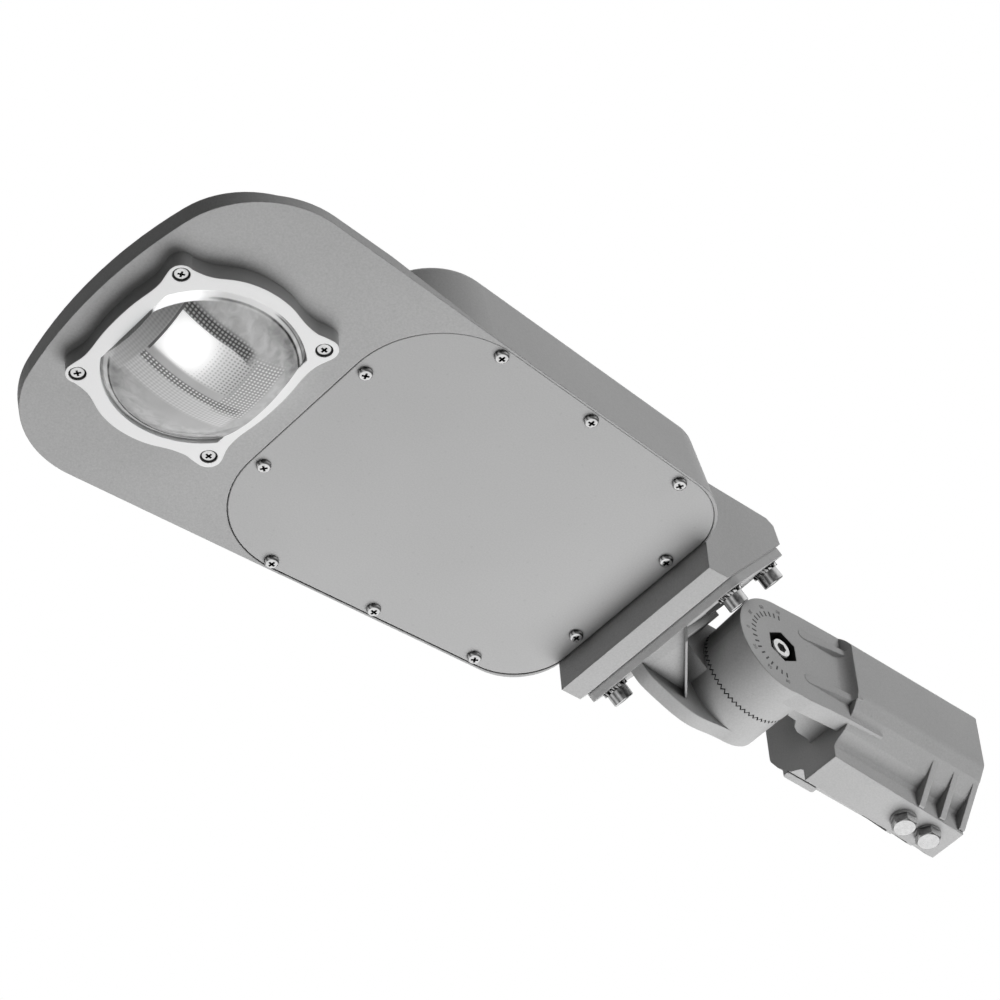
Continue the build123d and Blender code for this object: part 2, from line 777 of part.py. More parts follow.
with BuildPart() as adapter_bracket:
    with BuildSketch(flange_plane.offset(flange_gasket_t)):
        with Locations((0, plate_mid)):
            RectangleRounded(2 * plate_half, plate_high - plate_low, 5)
    extrude(amount=plate_t)
    # root pad on the plate
    with BuildSketch(plate_out.offset(-1)):
        with Locations(((-head_face_y - 10) / 2, 36)):
            RectangleRounded(-head_face_y + 10, 50, 4)
    extrude(amount=5)
    # drum of the knuckle
    with BuildSketch(pivot_plane.offset(head_face_y - seam_y)):
        Circle(head_drum_r)
    extrude(amount=seam_y - head_face_y - 2.4)
    # side wall from the drum to the plate
    n_out = flange_gasket_t + plate_t - 1
    with BuildSketch(Plane.XZ.offset(-head_face_y)):
        with BuildLine():
            low = on_plate(6, n_out)
            high = on_plate(plate_high - 6, n_out)
            Polyline(low, high)
            Line(high, (pivot_x, pivot_z + head_drum_r))
            Line((pivot_x, pivot_z + head_drum_r), (pivot_x, pivot_z - head_drum_r))
            Spline(
                (pivot_x, pivot_z - head_drum_r),
                (162.5, -37.7),
                (174.8, -39.0),
                (186.0, -37.2),
                (198.3, -32.9),
                (205.7, -29.8),
                (210.4, -26.9),
                low,
                tangents=((1, -0.02), (0.8, 0.9)),
            )
        make_face()
    extrude(amount=-9)
    # body above the pocket, from the side wall to the seam
    with BuildSketch(Plane.XZ.offset(-head_face_y - 1)):
        with BuildLine():
            Polyline(
                on_plate(36, n_out),
                on_plate(plate_high - 8, n_out),
                (pivot_x, pivot_z + head_drum_r - 2),
                (pivot_x, pivot_z),
                (177.0, -15.8),
                on_plate(36, n_out),
            )
        make_face()
    extrude(amount=head_face_y + 1 - seam_y + 2.4)
    # thin rib that runs aslant from the side wall to the plate, and the floor of the pocket beside it
    add(slant_rib.part)
    add(pocket_floor.part)
    # pivot hole and the recess of the nut
    with BuildSketch(pivot_plane.offset(head_face_y - seam_y)):
        Circle(pivot_bolt_r + 0.08)
    extrude(amount=40, mode=Mode.SUBTRACT)
    with BuildSketch(pivot_plane.offset(head_face_y - seam_y)):
        Circle(nut_recess_r)
    extrude(amount=nut_recess_depth, mode=Mode.SUBTRACT)
    # bolt holes and wire hole of the plate
    with BuildSketch(flange_plane.offset(flange_gasket_t)):
        with Locations([(s * flange_bolt_y, v) for s in (1, -1) for v in flange_bolt_s]):
            Circle(4.3)
        with Locations((-wire_hole_y, wire_hole_s)):
            Circle(wire_hole_r)
    extrude(amount=plate_t + 6, mode=Mode.SUBTRACT)
    # toothed face
    with Locations(pivot_plane.offset(-tooth_gap / 2)):
        add(tooth_ring(head_drum_r, -3.0, 0.0))
adapter_bracket.part.label = "adapter_bracket"
export_step(adapter_bracket.part, "parts/adapter_bracket.step")

# seal between the bracket's plate and the neck
with BuildPart() as flange_gasket:
    with BuildSketch(flange_plane):
        with Locations((0, plate_mid)):
            RectangleRounded(2 * plate_half - 5, plate_high - plate_low - 5, 4)
        with Locations([(s * flange_bolt_y, v) for s in (1, -1) for v in flange_bolt_s]):
            Circle(4.5, mode=Mode.SUBTRACT)
        with Locations((-wire_hole_y, wire_hole_s)):
            Circle(wire_hole_r, mode=Mode.SUBTRACT)
    extrude(amount=flange_gasket_t)
flange_gasket.part.label = "flange_gasket"
export_step(flange_gasket.part, "parts/flange_gasket.step")

# rubber grommet in the wire hole
with BuildPart() as wire_grommet:
    with BuildSketch(plate_out):
        with Locations((-wire_hole_y, wire_hole_s)):
            Circle(wire_hole_r + 2.5)
            Circle(wire_hole_r - 2.5, mode=Mode.SUBTRACT)
    extrude(amount=2)
    with BuildSketch(plate_out):
        with Locations((-wire_hole_y, wire_hole_s)):
            Circle(wire_hole_r - 0.05)
            Circle(wire_hole_r - 2.5, mode=Mode.SUBTRACT)
    extrude(amount=-plate_t)
wire_grommet.part.label = "wire_grommet"
export_step(wire_grommet.part, "parts/wire_grommet.step")

# cap screws of the flange, each on a toothed lock washer
bolt_seat = plate_out.offset(washer_t)
with BuildPart() as flange_bolt_set:
    with Locations(bolt_seat):
        with Locations([(s * flange_bolt_y, v) for s in (1, -1) for v in flange_bolt_s]):
            add(Rot(180, 0, 0) * cap_screw(6.3, 7.2, 3.95, 24, 6.0))
flange_bolt_set.part.label = "flange_bolts"
export_step(flange_bolt_set.part, "parts/flange_bolts.step")

with BuildPart() as flange_washers:
    with BuildSketch(plate_out):
        with Locations([(s * flange_bolt_y, v) for s in (1, -1) for v in flange_bolt_s]):
            Circle(6.2)
            with PolarLocations(6.4, 10):
                Rectangle(2.4, 1.9)
            Circle(4.1, mode=Mode.SUBTRACT)
    extrude(amount=washer_t)
flange_washers.part.label = "flange_lock_washers"
export_step(flange_washers.part, "parts/flange_lock_washers.step")

# pivot bolt with a hexagon socket in its round head, and its nut
head_seat = pivot_plane.offset(clamp_face_y - seam_y - recess_depth)
with BuildPart() as pivot_bolt:
    with BuildSketch(head_seat):
        Circle(6.5)
    extrude(amount=8)
    chamfer(pivot_bolt.edges().sort_by(Axis.Y)[-1], 0.6)
    with BuildSketch(head_seat.offset(8)):
        RegularPolygon(3, 6, major_radius=False)
    extrude(amount=-4, mode=Mode.SUBTRACT)
    with BuildSketch(head_seat):
        Circle(pivot_bolt_r)
    extrude(amount=-(clamp_face_y - recess_depth - head_face_y - nut_recess_depth + nut_t + 1.5))
pivot_bolt.part.label = "pivot_bolt"
export_step(pivot_bolt.part, "parts/pivot_bolt.step")

nut_seat = pivot_plane.offset(head_face_y - seam_y + nut_recess_depth)
with BuildPart() as pivot_washer:
    with BuildSketch(nut_seat.offset(-0.1)):
        Circle(8)
        Circle(pivot_bolt_r + 0.2, mode=Mode.SUBTRACT)
    extrude(amount=-1.6)
pivot_washer.part.label = "pivot_washer"
export_step(pivot_washer.part, "parts/pivot_washer.step")

with BuildPart() as pivot_nut:
    with BuildSketch(nut_seat.offset(-1.7)):
        RegularPolygon(6.5, 6, major_radius=False)
        Circle(pivot_bolt_r, mode=Mode.SUBTRACT)
    extrude(amount=-nut_t)
pivot_nut.part.label = "pivot_nut"
export_step(pivot_nut.part, "parts/pivot_nut.step")

# two bolts that press on the pole's spigot through the pad
with BuildPart() as clamp_bolts:
    with Locations([(x, 0, pad_seat_z) for x in clamp_bolt_x]):
        add(hex_bolt(13.0, 5.5, 3.95, 22.2))
clamp_bolts.part.label = "clamp_bolts"
export_step(clamp_bolts.part, "parts/clamp_bolts.step")
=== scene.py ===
import bpy, bmesh, json, math
from mathutils import Matrix, Vector


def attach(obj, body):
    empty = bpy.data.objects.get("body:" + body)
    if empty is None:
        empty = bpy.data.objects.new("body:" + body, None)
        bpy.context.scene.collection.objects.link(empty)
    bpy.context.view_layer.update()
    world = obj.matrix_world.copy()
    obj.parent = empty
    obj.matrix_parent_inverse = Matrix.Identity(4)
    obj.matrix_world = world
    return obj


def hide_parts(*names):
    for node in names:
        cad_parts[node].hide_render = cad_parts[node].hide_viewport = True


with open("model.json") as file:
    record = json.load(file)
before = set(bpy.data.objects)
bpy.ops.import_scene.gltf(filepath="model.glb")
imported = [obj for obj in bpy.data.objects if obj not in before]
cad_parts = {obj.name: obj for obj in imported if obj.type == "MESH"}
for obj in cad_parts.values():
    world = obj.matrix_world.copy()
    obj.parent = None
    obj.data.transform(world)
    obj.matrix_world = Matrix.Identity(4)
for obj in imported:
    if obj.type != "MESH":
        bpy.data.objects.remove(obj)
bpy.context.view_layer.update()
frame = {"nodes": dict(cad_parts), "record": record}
cadNode = frame["nodes"]
print("frame loaded,", len(cadNode), "nodes")

mm = 0.001
hinge = dict(x=0.1485, z=-0.0055)  # where the knuckle's bolt crosses the xz plane, in metres


# small helpers for node trees

def feed(tree, socket, value):
    if isinstance(value, bpy.types.NodeSocket):
        tree.links.new(value, socket)
    else:
        socket.default_value = value


# adds a node; its inputs are numbers, colours or the sockets that feed them
def addNode(tree, kind, inputs=None, **settings):
    node = tree.nodes.new(kind)
    for name, value in settings.items():
        setattr(node, name, value)
    for name, value in (inputs or {}).items():
        feed(tree, node.inputs[name], value)
    return node


def maths(tree, operation, *values):
    return addNode(tree, "ShaderNodeMath", dict(enumerate(values)), operation=operation).outputs[0]


def times(tree, first, second):
    return maths(tree, "MULTIPLY", first, second)


def plus(tree, first, second):
    return maths(tree, "ADD", first, second)


def timesPlus(tree, first, second, added):
    return maths(tree, "MULTIPLY_ADD", first, second, added)


def distance(tree, first, second):
    return maths(tree, "SQRT", plus(tree, times(tree, first, first), times(tree, second, second)))


def mapRange(tree, value, low, high, toLow, toHigh):
    inputs = {"Value": value, "From Min": low, "From Max": high, "To Min": toLow, "To Max": toHigh}
    return addNode(tree, "ShaderNodeMapRange", inputs).outputs["Result"]


# rises smoothly from 0 at low to 1 at high
def ramp(tree, value, low, high):
    rise = mapRange(tree, value, low, high, 0, 1)
    rise.node.interpolation_type = "SMOOTHSTEP"
    return rise


# 1 between low and high, fading over a width at either end
def window(tree, value, low, high, fadeLow, fadeHigh):
    up = ramp(tree, value, low - fadeLow / 2, low + fadeLow / 2)
    down = ramp(tree, value, high + fadeHigh / 2, high - fadeHigh / 2)
    return times(tree, up, down)


def blend(tree, amount, first, second):
    return addNode(tree, "ShaderNodeMix", {0: amount, 2: first, 3: second}, data_type="FLOAT").outputs[0]


def axes(tree, vector):
    split = addNode(tree, "ShaderNodeSeparateXYZ", {0: vector})
    return split.outputs["X"], split.outputs["Y"], split.outputs["Z"]


def grey(tree, value):
    return addNode(tree, "ShaderNodeCombineColor", {0: value, 1: value, 2: value}).outputs[0]


def noise(tree, vector, scale, **more):
    inputs = {"Vector": vector, "Scale": scale}
    inputs.update({name.capitalize(): value for name, value in more.items()})
    return addNode(tree, "ShaderNodeTexNoise", inputs).outputs["Fac"]


# sets the nodes in columns, each to the left of what it feeds
def arrange(tree):
    column = {node.name: 0 for node in tree.nodes}
    moved = True
    while moved:
        moved = False
        for wire in tree.links:
            needed = column[wire.to_node.name] + 1
            if column[wire.from_node.name] < needed:
                column[wire.from_node.name] = needed
                moved = True
    rows = {}
    for node in tree.nodes:
        at = column[node.name]
        rows[at] = rows.get(at, 0) + 1
        node.location = (-220 * at, -200 * rows[at])


# a new node group, with the sockets of its start and of its end
def newGroup(name, kind, takes, gives):
    tree = bpy.data.node_groups.new(name, kind)
    for way, sockets in (("INPUT", takes), ("OUTPUT", gives)):
        for label, value in sockets.items():
            tree.interface.new_socket(label, in_out=way, socket_type="NodeSocket" + value)
    start = addNode(tree, "NodeGroupInput")
    end = addNode(tree, "NodeGroupOutput")
    return tree, start.outputs, end.inputs


# effects shared by several finishes

def makeCoatGrain():
    takes = {"Vector": "Vector", "Grain Scale": "Float", "Cloud Scale": "Float"}
    gives = {"Tone": "Float", "Height": "Float", "Specks": "Float"}
    tree, start, end = newGroup("coatGrain", "ShaderNodeTree", takes, gives)
    fine = noise(tree, start["Vector"], start["Grain Scale"], detail=2.0, roughness=0.65)
    cloud = noise(tree, start["Vector"], start["Cloud Scale"], detail=3.0)
    pitScale = times(tree, start["Grain Scale"], 0.12)
    pit = addNode(tree, "ShaderNodeTexVoronoi", {"Vector": start["Vector"], "Scale": pitScale})
    fineTone = mapRange(tree, fine, 0.3, 0.7, -1.0, 1.0)
    cloudTone = mapRange(tree, cloud, 0.3, 0.7, -1.0, 1.0)
    feed(tree, end["Tone"], timesPlus(tree, fineTone, 0.6, times(tree, cloudTone, 0.4)))
    feed(tree, end["Height"], fine)
    feed(tree, end["Specks"], mapRange(tree, pit.outputs["Distance"], 0.05, 0.12, 1.0, 0.0))
    arrange(tree)
    return tree


# 1 along edges, for a painted highlight there, and a normal that rounds them
def makeEdgeWear():
    gives = {"Edge": "Float", "Normal": "Vector"}
    tree, start, end = newGroup("edgeHighlightAndRounding", "ShaderNodeTree", {"Radius": "Float"}, gives)
    soft = addNode(tree, "ShaderNodeBevel", {"Radius": start["Radius"]}, samples=4).outputs["Normal"]
    flat = addNode(tree, "ShaderNodeNewGeometry").outputs["Normal"]
    turn = addNode(tree, "ShaderNodeVectorMath", {0: soft, 1: flat}, operation="DOT_PRODUCT")
    feed(tree, end["Edge"], mapRange(tree, turn.outputs["Value"], 0.7, 0.99, 1.0, 0.0))
    feed(tree, end["Normal"], soft)
    arrange(tree)
    return tree


# painted shade: 1 on open surfaces, falling to the floor value in corners and gaps
def makeShelter():
    takes = {"Reach": "Float", "Floor": "Float"}
    tree, start, end = newGroup("paintedShade", "ShaderNodeTree", takes, {"Open": "Float"})
    shade = addNode(tree, "ShaderNodeAmbientOcclusion", {"Distance": start["Reach"]}, samples=6)
    amount = mapRange(tree, shade.outputs["AO"], 0.15, 0.75, 0, 1)
    feed(tree, end["Open"], blend(tree, amount, start["Floor"], 1.0))
    arrange(tree)
    return tree


# a pattern of fine prisms: two sets of ridges, and the dots where they cross
def makePrismGrid():
    takes = {"U": "Float", "V": "Float", "U Pitch": "Float", "V Pitch": "Float"}
    gives = {"Across": "Float", "Along": "Float", "Dots": "Float"}
    tree, start, end = newGroup("prismGrid", "ShaderNodeTree", takes, gives)
    waves = []
    for axis in ("U", "V"):
        turns = maths(tree, "DIVIDE", start[axis], start[axis + " Pitch"])
        wave = maths(tree, "SINE", times(tree, turns, 2 * math.pi))
        waves.append(mapRange(tree, wave, -1, 1, 0, 1))
    feed(tree, end["Across"], waves[0])
    feed(tree, end["Along"], waves[1])
    feed(tree, end["Dots"], times(tree, waves[0], waves[1]))
    arrange(tree)
    return tree


coatGrain = makeCoatGrain()
edgeHighlightAndRounding = makeEdgeWear()
paintedShade = makeShelter()
prismGrid = makePrismGrid()


# parts that the materials have in common

def startMaterial(name):
    made = bpy.data.materials.new(name)
    made.use_nodes = True
    tree = made.node_tree
    place = addNode(tree, "ShaderNodeTexCoord").outputs["Object"]
    return made, tree, tree.nodes["Principled BSDF"], place


def addCoat(tree, place, grain, cloud):
    inputs = {"Vector": place, "Grain Scale": grain, "Cloud Scale": cloud}
    return addNode(tree, "ShaderNodeGroup", inputs, node_tree=coatGrain).outputs


def addWear(tree, radius):
    return addNode(tree, "ShaderNodeGroup", {"Radius": radius}, node_tree=edgeHighlightAndRounding).outputs


def addShelter(tree, reach, floor):
    inputs = {"Reach": reach, "Floor": floor}
    return addNode(tree, "ShaderNodeGroup", inputs, node_tree=paintedShade).outputs["Open"]


def addBump(tree, shader, height, strength, depth, normal=None):
    lift = addNode(tree, "ShaderNodeBump", {"Height": height, "Strength": strength, "Distance": depth})
    if normal is not None:
        feed(tree, lift.inputs["Normal"], normal)
    feed(tree, shader.inputs["Normal"], lift.outputs["Normal"])


def addRoughness(tree, shader, value, low, high):
    feed(tree, shader.inputs["Roughness"], mapRange(tree, value, 0.3, 0.7, low, high))


def mixShaders(tree, amount, first, second, end):
    mix = addNode(tree, "ShaderNodeMixShader", {0: amount, 1: first, 2: second})
    feed(tree, end.inputs["Surface"], mix.outputs[0])


# painted castings and the painted cover: tone, spread of the tone, scales of the grain and of the
# clouds, height of the grain, roughness, edges and their painted highlight, and how far and how deep the
# painted shade in corners goes
paint = {
    "clamp_casting": dict(
        colour=0.44, spread=0.050, grain=950, cloud=16, bump=0.18, rough=0.56,
        edge=0.0011, edgeHighlight=0.05, reach=0.024, shadeDepth=0.34,
    ),
    "bracket_casting": dict(
        colour=0.46, spread=0.050, grain=950, cloud=19, bump=0.18, rough=0.56,
        edge=0.0011, edgeHighlight=0.05, reach=0.024, shadeDepth=0.22,
    ),
    "housing_casting": dict(
        colour=0.45, spread=0.055, grain=820, cloud=9, bump=0.20, rough=0.58,
        edge=0.0009, edgeHighlight=0.04, reach=0.005, shadeDepth=0.60,
    ),
    "cover_sheet": dict(
        colour=0.475, spread=0.035, grain=1000, cloud=7, bump=0.10, rough=0.52,
        edge=0.0004, edgeHighlight=0.03, reach=0.004, shadeDepth=0.45,
    ),
}

# a dark line between the knuckle's teeth: a zigzag in y against the angle round the bolt
teeth = dict(halfPitch=3.0, depth=0.002, middle=0.001, line=(0.00068, 0.00048), tone=0.94)
teeth["radius"] = (0.0294, 0.0313, 0.0006, 0.0004)

# recess round the head of the hinge bolt
well = dict(radius=(0.0116, 0.0110), y=(0.005, 0.0272, 0.001, 0.0002), tone=0.93)


def roundHinge(tree, place):
    x, y, z = axes(tree, place)
    across = maths(tree, "SUBTRACT", x, hinge["x"])
    up = maths(tree, "SUBTRACT", z, hinge["z"])
    return y, across, up, distance(tree, across, up)


# 1 everywhere but on the dark line in which the teeth meet
def toothLine(tree, place):
    y, across, up, far = roundHinge(tree, place)
    angle = times(tree, maths(tree, "ARCTAN2", up, across), 180 / math.pi)
    fold = maths(tree, "PINGPONG", angle, teeth["halfPitch"])
    crest = timesPlus(tree, fold, teeth["depth"] / teeth["halfPitch"], teeth["middle"])
    off = maths(tree, "ABSOLUTE", plus(tree, y, crest))
    near = times(tree, ramp(tree, off, *teeth["line"]), window(tree, far, *teeth["radius"]))
    return timesPlus(tree, near, -teeth["tone"], 1.0)


# 1 everywhere but in the bolt's recess, which lies in deep shade
def boltWell(tree, place):
    y, across, up, far = roundHinge(tree, place)
    inside = times(tree, ramp(tree, far, *well["radius"]), window(tree, y, *well["y"]))
    return timesPlus(tree, inside, -well["tone"], 1.0)


def paintedMetal(slot, colour, spread, grain, cloud, bump, rough, edge, edgeHighlight, reach, shadeDepth):
    made, tree, shader, place = startMaterial(slot + "Paint")
    coat = addCoat(tree, place, grain, cloud)
    edgeLightAndNormal = addWear(tree, edge)
    tone = timesPlus(tree, coat["Tone"], spread, colour)
    # painted highlight along the edges
    tone = timesPlus(tree, edgeLightAndNormal["Edge"], edgeHighlight, tone)
    tone = timesPlus(tree, coat["Specks"], -0.03, tone)
    # painted shade in corners and gaps
    tone = times(tree, tone, addShelter(tree, reach, shadeDepth))
    if slot in ("clamp_casting", "bracket_casting"):
        tone = times(tree, tone, toothLine(tree, place))
    if slot == "clamp_casting":
        tone = times(tree, tone, boltWell(tree, place))
    feed(tree, shader.inputs["Base Color"], grey(tree, tone))
    addRoughness(tree, shader, coat["Height"], rough - 0.05, rough + 0.05)
    addBump(tree, shader, coat["Height"], bump, 0.0004, edgeLightAndNormal["Normal"])
    shader.inputs["Metallic"].default_value = 0.0
    shader.inputs["Specular IOR Level"].default_value = 0.2
    arrange(tree)
    return made


# frame of the lens: tones of its machined face, its coated sides and its bore
frameFinish = dict(face=0.90, side=0.29, bore=0.80, boreEdge=(0.0545, 0.0535), centre=0.537, spread=0.012)


def frameMetal(name):
    made, tree, shader, place = startMaterial(name)
    coat = addCoat(tree, place, 1300, 22)
    edgeLightAndNormal = addWear(tree, 0.0007)
    flat = addNode(tree, "ShaderNodeNewGeometry").outputs["True Normal"]
    down = mapRange(tree, axes(tree, flat)[2], -0.9, -0.6, 1.0, 0.0)
    x, y, z = axes(tree, place)
    far = distance(tree, maths(tree, "SUBTRACT", x, frameFinish["centre"]), y)
    inBore = ramp(tree, far, *frameFinish["boreEdge"])
    flank = blend(tree, inBore, frameFinish["side"], frameFinish["bore"])
    base = blend(tree, down, flank, frameFinish["face"])
    tone = timesPlus(tree, coat["Tone"], frameFinish["spread"], base)
    feed(tree, shader.inputs["Base Color"], grey(tree, tone))
    addRoughness(tree, shader, coat["Height"], 0.36, 0.44)
    addBump(tree, shader, coat["Height"], 0.06, 0.0003, edgeLightAndNormal["Normal"])
    arrange(tree)
    return made


# steel: its painted reflection where it faces down, the painted reflection bands of its sides from -y to +y,
# its brushing, and the pitch of the teeth where it has any
steel = {
    "stainless": dict(
        top=0.83, rough=0.24, scratch=420, teethPitch=0.0,
        side=(
            (0, 0.60), (0.08, 0.12), (0.20, 0.45), (0.32, 0.10), (0.44, 0.55),
            (0.56, 0.06), (0.68, 0.50), (0.78, 0.08), (0.94, 0.14), (1, 0.62),
        ),
    ),
    "washer_steel": dict(
        top=0.70, rough=0.34, scratch=520, teethPitch=0.0019,
        side=((0, 0.70), (0.5, 0.60), (1, 0.75)),
    ),
}


# painted reflections on the sides, as a colour ramp over the normal's y
def sideBands(tree, turn, side):
    bands = addNode(tree, "ShaderNodeValToRGB", {0: mapRange(tree, turn, -1, 1, 0, 1)})
    marks = bands.color_ramp
    marks.elements[0].position = side[0][0]
    marks.elements[1].position = side[-1][0]
    for position, level in side[1:-1]:
        marks.elements.new(position)
    for mark, (position, level) in zip(sorted(marks.elements, key=lambda m: m.position), side):
        mark.color = (level, level, level, 1)
    return bands.outputs[0]


# turned and rolled steel with painted reflections: light where it faces down, streaked where it turns away
def brightSteel(slot, top, rough, scratch, teethPitch, side):
    made, tree, shader, place = startMaterial(slot + "Steel")
    streak = noise(tree, place, scratch, detail=3.0)
    blot = noise(tree, place, 90)
    turnX, turnY, turnZ = axes(tree, addNode(tree, "ShaderNodeTexCoord").outputs["Normal"])
    tone = blend(tree, ramp(tree, turnZ, -0.80, -0.93), sideBands(tree, turnY, side), top)
    tone = plus(tree, tone, mapRange(tree, streak, 0.35, 0.65, -0.05, 0.05))
    # painted shade: dark stripes between the washer's teeth
    if teethPitch > 0:
        x, y, z = axes(tree, place)
        turns = times(tree, timesPlus(tree, x, 0.6, y), 2 * math.pi / teethPitch)
        tone = times(tree, tone, mapRange(tree, maths(tree, "SINE", turns), -0.35, 0.15, 0.03, 1.0))
    # painted shade in the cross recesses and other gaps
    tone = times(tree, tone, addShelter(tree, 0.0025, 0.05))
    feed(tree, shader.inputs["Base Color"], grey(tree, tone))
    addRoughness(tree, shader, blot, rough - 0.06, rough + 0.08)
    addBump(tree, shader, streak, 0.08, 0.0002)
    shader.inputs["Metallic"].default_value = 1.0
    arrange(tree)
    return made


def plainMatt(name, colour, rough, grain=600, bump=0.15, metallic=0.0):
    made, tree, shader, place = startMaterial(name)
    coat = addCoat(tree, place, grain, 30)
    tone = addNode(tree, "ShaderNodeMixRGB", {
        "Fac": mapRange(tree, coat["Tone"], -1, 1, 0, 1),
        "Color1": (*[c * 0.88 for c in colour], 1),
        "Color2": (*[min(1, c * 1.1) for c in colour], 1),
    })
    feed(tree, shader.inputs["Base Color"], tone.outputs[0])
    addRoughness(tree, shader, coat["Height"], rough - 0.05, rough + 0.05)
    addBump(tree, shader, coat["Height"], bump, 0.0003)
    shader.inputs["Metallic"].default_value = metallic
    arrange(tree)
    return made


# the lens, in millimetres from its axis: u towards the nose, v towards +y, reach outwards.
# areas are (low, high, fade at low, fade at high), slopes (from, to); tones run from 0 to 1
# all these tones are painted light and shade: the lamp, gleams and dark lines seen in and through the glass
lens = dict(
    centre=537.0, pitchU=2.15, pitchV=1.75,
    smooth=dict(
        tone=0.505, lift=0.0013, haze=0.05, shadeStreaks=0.09, shadeStreakReach=(26, 42),
        dim=-0.20, dimU=(4, -34), dimV=(14, 40), rim=-0.16, rimReach=(41, 47), brightCorner=(30, 42),
        line=-0.30, lineReach=(48.5, 49.4, 0.8, 0.6), pale=0.26, paleReach=(49.6, 51.6, 0.6, 0.6),
    ),
    nose=dict(tone=0.34, lift=-0.0060, across=0.06, along=0.07, u=(36.1, 37.1), v=(-24, 30, 6, 3)),
    ribbed=dict(tone=0.49, across=0.10, along=0.14, u=(-27, 37, 4, 1), v=(-20, -6, 2.5, 1)),
    tail=dict(tone=0.31, dots=0.62, u=(-30, -11, 4, 3), v=(-9, 29, 4, 5)),
    core=dict(
        level=(-12, 12, 0.56, 1.0), veil=(27, -6, 0, 0.52),
        u=(-13.0, 35.8, 3, 0.8), v=(3.4, 27.6, 3.0, 0.9),
    ),
    band=dict(tone=0.02, dots=0.50, u=(-9.0, 36.4, 8, 0.8), v=(27.9, 34.6, 0.8, 4.0), bendAt=8.0, bend=0.011),
    cell=dict(tone=0.07, u=(35.6, 36.9, 0.3, 0.3), v=(0, 35, 2, 1)),
    lowBand=dict(tone=0.13, dots=0.85, u=(-26.0, 36.8, 5, 0.8), v=(-6.8, -2.0, 1.6, 1.6)),
    gleam=dict(tone=1.0, reach=(47.6, 48.2), u=(21, 36), v=(10, 17)),
    thin=dict(tone=0.80, reach=(49.4, 50.0), u=(-8, 32, 8, 6), v=(0, 6)),
    edge=dict(tone=0.10, reach=(50.9, 51.5, 0.5, 0.4), v=(-12, 4)),
    light=dict(u=24.0, v=16.0, spread=(22, 8), lamp=0.35, gleam=0.5, rim=0.20, rimReach=(47.0, 48.5)),
)


def area(tree, u, v, zone):
    return times(tree, window(tree, u, *zone["u"]), window(tree, v, *zone["v"]))


def opposite(tree, value):
    return maths(tree, "SUBTRACT", 1.0, value)


# smooth flanks with painted light and shade: lighter towards +v, with dark streaks, and darker at the rim,
# but for its bright nose corner
def smoothFlanks(tree, place, u, v, reach):
    smooth = lens["smooth"]
    bright = ramp(tree, timesPlus(tree, u, 0.6, times(tree, v, 0.8)), *smooth["brightCorner"])
    tone = timesPlus(tree, v, smooth["lift"], smooth["tone"])
    haze = mapRange(tree, noise(tree, place, 38, detail=2.0), 0.3, 0.7, -1, 1)
    tone = timesPlus(tree, haze, smooth["haze"], tone)
    angle = times(tree, maths(tree, "ARCTAN2", v, u), 4.0)
    polar = addNode(tree, "ShaderNodeCombineXYZ", {0: angle, 1: times(tree, reach, 0.11)}).outputs[0]
    streaks = noise(tree, polar, 1.6, detail=3.0, distortion=0.6)
    shadeStreaks = times(tree, mapRange(tree, streaks, 0.35, 0.65, -1, 1), ramp(tree, reach, *smooth["shadeStreakReach"]))
    tone = timesPlus(tree, shadeStreaks, smooth["shadeStreaks"], tone)
    dim = times(tree, ramp(tree, u, *smooth["dimU"]), ramp(tree, v, *smooth["dimV"]))
    tone = timesPlus(tree, dim, smooth["dim"], tone)
    rim = times(tree, ramp(tree, reach, *smooth["rimReach"]), opposite(tree, bright))
    tone = timesPlus(tree, rim, smooth["rim"], tone)
    tone = timesPlus(tree, window(tree, reach, *smooth["lineReach"]), smooth["line"], tone)
    return timesPlus(tree, window(tree, reach, *smooth["paleReach"]), smooth["pale"], tone)


# prisms over the lamp: the ridged flank, the ribbed band, the bright field and its dark borders, all painted
# light and shade
def prisms(tree, tone, u, v):
    inputs = {"U": u, "V": v, "U Pitch": lens["pitchU"], "V Pitch": lens["pitchV"]}
    grid = addNode(tree, "ShaderNodeGroup", inputs, node_tree=prismGrid).outputs

    def ridges(zone, base):
        base = timesPlus(tree, grid["Along"], zone["along"], base)
        return timesPlus(tree, grid["Across"], zone["across"], base)

    def dotted(zone):
        return timesPlus(tree, grid["Dots"], zone["dots"], zone["tone"])

    nose = lens["nose"]
    side = ridges(nose, timesPlus(tree, v, nose["lift"], nose["tone"]))
    mask = times(tree, ramp(tree, u, *nose["u"]), window(tree, v, *nose["v"]))
    tone = blend(tree, mask, tone, side)
    ribbed = lens["ribbed"]
    tone = blend(tree, area(tree, u, v, ribbed), tone, ridges(ribbed, ribbed["tone"]))
    tone = blend(tree, area(tree, u, v, lens["tail"]), tone, dotted(lens["tail"]))

    # painted light of the lamp seen through them: white at the nose end, ribbed towards the tail
    core = lens["core"]
    veil = times(tree, grid["Dots"], mapRange(tree, u, *core["veil"]))
    white = maths(tree, "SUBTRACT", mapRange(tree, u, *core["level"]), veil)
    overLamp = area(tree, u, v, core)
    tone = blend(tree, overLamp, tone, white)

    # painted shade in dark hatched bands on both sides of it; the upper one bends in at its tail
    band = lens["band"]
    bend = maths(tree, "MAXIMUM", maths(tree, "SUBTRACT", band["bendAt"], u), 0.0)
    bent = timesPlus(tree, times(tree, bend, bend), band["bend"], v)
    tone = blend(tree, area(tree, u, bent, band), tone, dotted(band))
    tone = blend(tree, area(tree, u, v, lens["cell"]), tone, lens["cell"]["tone"])
    tone = blend(tree, area(tree, u, v, lens["lowBand"]), tone, dotted(lens["lowBand"]))
    return tone, overLamp, grid["Dots"]
